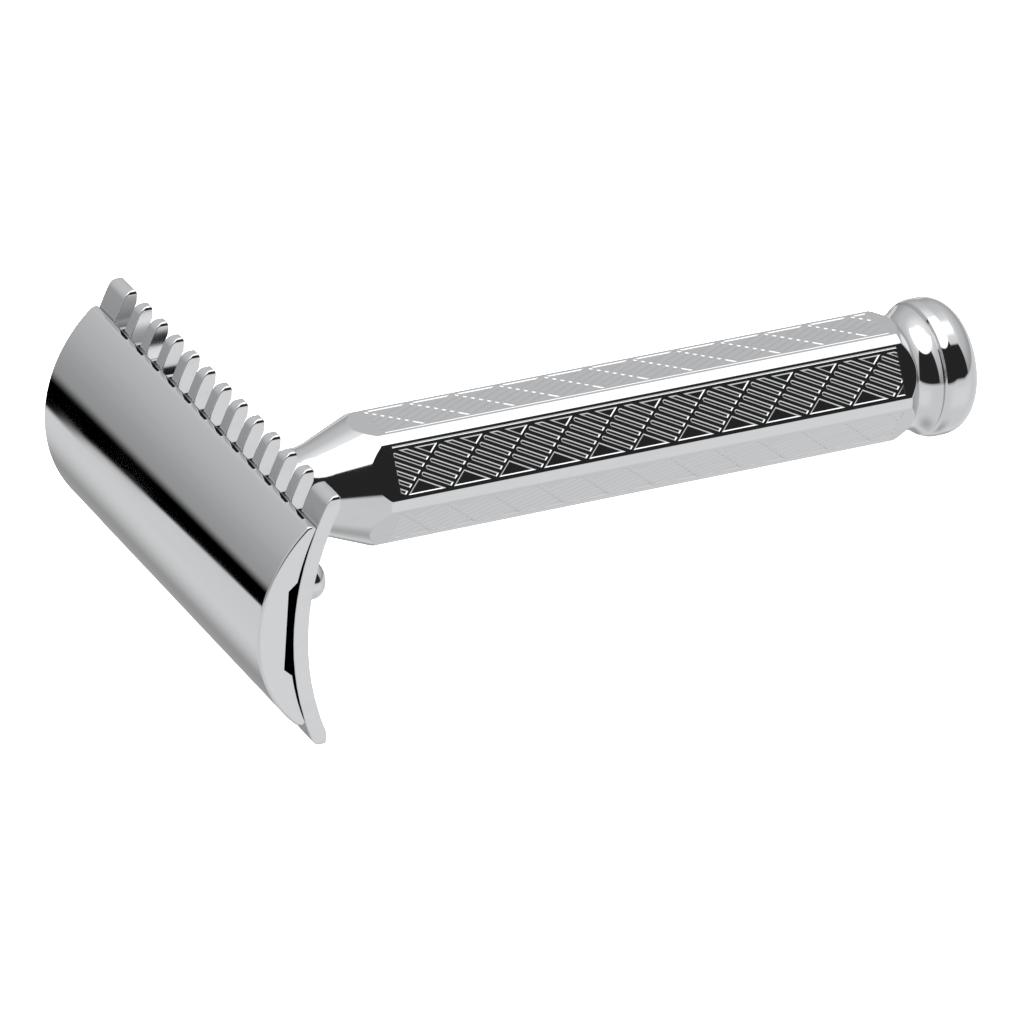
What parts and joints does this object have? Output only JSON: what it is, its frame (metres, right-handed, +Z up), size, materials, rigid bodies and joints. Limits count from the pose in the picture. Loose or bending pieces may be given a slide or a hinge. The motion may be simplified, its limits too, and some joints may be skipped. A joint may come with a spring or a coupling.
{
  "type": "safety razor",
  "caption": "Three-piece open-comb safety razor: domed cap and comb guard clamped by a hexagonal engraved handle that screws onto the cap's stud. Shown without a blade.",
  "frame": {"origin": "centre of the bounding box, on the surface that the razor lies on", "axes": "+X along the handle from the head to the end knob, +Y along the length of the head, +Z up. The razor lies on its lower comb and its knob, so the handle's axis falls by 4.72 degrees towards the knob."},
  "size_m": [0.0828, 0.0434, 0.0249],
  "materials": {
    "head_chrome": "polished chrome plate",
    "handle_chrome": "polished chrome plate, engraved faces",
    "stud_steel": "machined steel",
    "insert_brass": "turned brass"
  },
  "bodies": {
    "cap": {"cap": "head_chrome", "threaded_stud": "stud_steel", "locating_pin_left": "stud_steel", "locating_pin_right": "stud_steel"},
    "guard": {"guard_plate": "head_chrome"},
    "handle": {"handle_grip": "handle_chrome", "thread_insert": "insert_brass", "end_knob": "handle_chrome"}
  },
  "joints": [
    {"name": "guard_slide", "type": "slide", "parent": "cap", "child": "guard", "axis": [0.9966, 0, -0.0823], "range_m": [0, 0.0072]},
    {"name": "handle_turn", "type": "hinge", "parent": "guard", "child": "handle", "pos_m": [-0.03406, 0, 0.01238], "axis": [0.9966, 0, -0.0823], "range_deg": [0, 3241]}
  ],
  "couplings": [
    {"joint": "handle_turn", "follows": "guard_slide", "rad_per_m": 7854}
  ]
}
